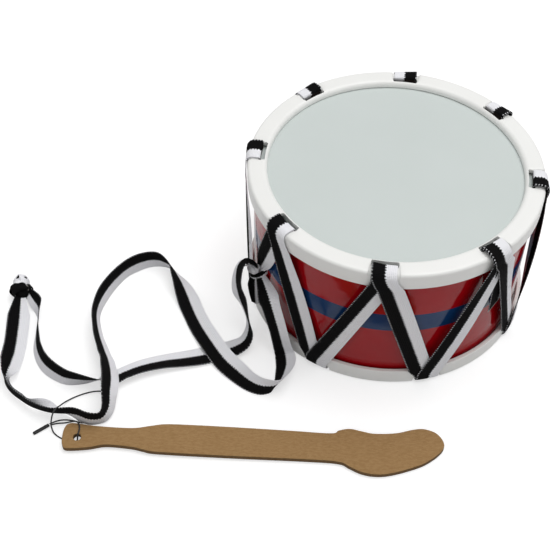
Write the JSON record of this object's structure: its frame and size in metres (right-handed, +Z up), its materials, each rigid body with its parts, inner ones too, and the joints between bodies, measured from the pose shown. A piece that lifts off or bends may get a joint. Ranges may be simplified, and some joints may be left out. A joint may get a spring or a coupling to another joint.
{
  "type": "davul drum",
  "caption": "Shallow two-headed drum with white rims, a zigzag woven tape lacing over a dark red shell, a knotted carrying strap and a flat wooden beater tied on with elastic.",
  "frame": {"origin": "on the floor, at the middle of the footprint of the drum and its beater, which leaves out the strap, its knots, the elastic and its crimp; the drum's own axis stands 58.7 mm to +X and 36.6 mm to +Y of it", "axes": "+Z up along the drum's axis; the drum's front faces -Y; the strap and the beater lie on the -X side"},
  "size_m": [0.3747, 0.2764, 0.1116],
  "materials": {
    "rim_plastic": "satin white moulded plastic",
    "head_sheet": "satin grey-white plastic sheet",
    "printed_shell": "glossy dark red print with a blue band",
    "lace_tape": "woven tape, black along one edge and white along the other",
    "strap_tape": "woven tape, black along one edge and white along the other",
    "fibreboard": "bare fibreboard",
    "elastic": "black braided elastic cord",
    "crimp": "black pressed metal"
  },
  "bodies": {
    "drum": {"top_rim": "rim_plastic", "bottom_rim": "rim_plastic", "batter_head": "head_sheet", "bottom_head": "head_sheet", "shell": "printed_shell", "lacing_tape": "lace_tape", "drum_knot": "strap_tape", "far_knot": "strap_tape", "strap_long_strand": "strap_tape", "strap_short_strand": "strap_tape", "elastic_loop": "elastic", "crimp_sleeve": "crimp"},
    "beater": {"beater": "fibreboard"}
  },
  "joints": [
    {"name": "beater_lift", "type": "slide", "parent": "drum", "child": "beater", "axis": [0, 0, 1], "range_m": [0, 0.06], "deforming": ["elastic_loop"]}
  ]
}
